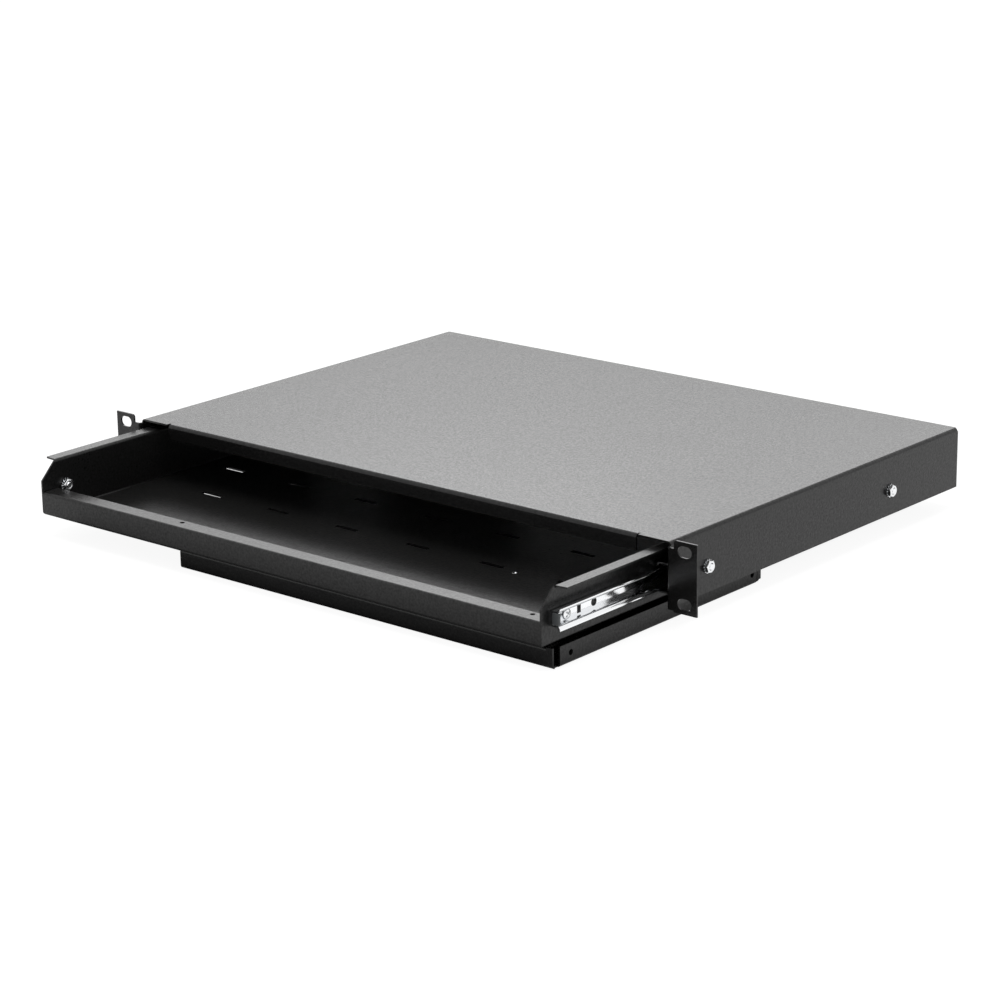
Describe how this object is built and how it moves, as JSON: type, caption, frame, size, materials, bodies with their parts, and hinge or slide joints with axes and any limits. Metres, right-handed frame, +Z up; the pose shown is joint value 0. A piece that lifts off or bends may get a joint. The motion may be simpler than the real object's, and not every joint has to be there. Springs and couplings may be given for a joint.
{
  "type": "rack keyboard tray",
  "caption": "Black steel one-unit rack drawer for a keyboard, on ball-bearing slides, with a shallow mouse tray that slides out sideways under it.",
  "frame": {"origin": "centre of the four ear slots, on the rear face of the rack ears, which lies on the rack's front rails", "axes": "+X to the right seen from the front, +Y to the back of the rack, +Z up"},
  "size_m": [0.4826, 0.4124, 0.0565],
  "materials": {
    "housing_paint": "fine-textured black powder coat",
    "tray_paint": "fine-textured black powder coat",
    "mouse_paint": "fine-textured black powder coat",
    "slide_zinc": "bright zinc plate",
    "fastener_zinc": "zinc plate",
    "cage_steel": "bare cold-rolled strip",
    "ball_steel": "polished bearing steel",
    "bumper_plastic": "grey moulded plastic"
  },
  "bodies": {
    "housing": {"housing_shell": "housing_paint", "slide_outer_left": "slide_zinc", "slide_outer_right": "slide_zinc", "outer_screws_left": "fastener_zinc", "outer_screws_right": "fastener_zinc", "outer_washers_left": "fastener_zinc", "outer_washers_right": "fastener_zinc", "outer_nuts_left": "fastener_zinc", "outer_nuts_right": "fastener_zinc", "rear_bumper_left": "bumper_plastic", "rear_bumper_right": "bumper_plastic"},
    "tray": {"keyboard_tray": "tray_paint", "slide_inner_left": "slide_zinc", "slide_inner_right": "slide_zinc", "inner_screws_left": "fastener_zinc", "inner_screws_right": "fastener_zinc", "inner_washers_left": "fastener_zinc", "inner_washers_right": "fastener_zinc", "inner_nuts_left": "fastener_zinc", "inner_nuts_right": "fastener_zinc", "front_bumper_left": "bumper_plastic", "front_bumper_right": "bumper_plastic", "mouse_rail_front": "tray_paint", "mouse_rail_rear": "tray_paint", "mouse_stop_stud": "fastener_zinc"},
    "left_cage": {"ball_cage_left": "cage_steel", "balls_left": "ball_steel"},
    "right_cage": {"ball_cage_right": "cage_steel", "balls_right": "ball_steel"},
    "mouse_tray": {"mouse_tray": "mouse_paint"}
  },
  "joints": [
    {"name": "tray_slide", "type": "slide", "parent": "housing", "child": "tray", "axis": [0, -1, 0], "range_m": [-0.0985, 0.0915]},
    {"name": "left_cage_slide", "type": "slide", "parent": "housing", "child": "left_cage", "axis": [0, -1, 0], "range_m": [-0.0495, 0.046]},
    {"name": "right_cage_slide", "type": "slide", "parent": "housing", "child": "right_cage", "axis": [0, -1, 0], "range_m": [-0.0495, 0.046]},
    {"name": "mouse_slide", "type": "slide", "parent": "tray", "child": "mouse_tray", "axis": [1, 0, 0], "range_m": [0, 0.1945]}
  ],
  "couplings": [
    {"joint": "left_cage_slide", "follows": "tray_slide", "ratio": 0.5},
    {"joint": "right_cage_slide", "follows": "tray_slide", "ratio": 0.5}
  ]
}
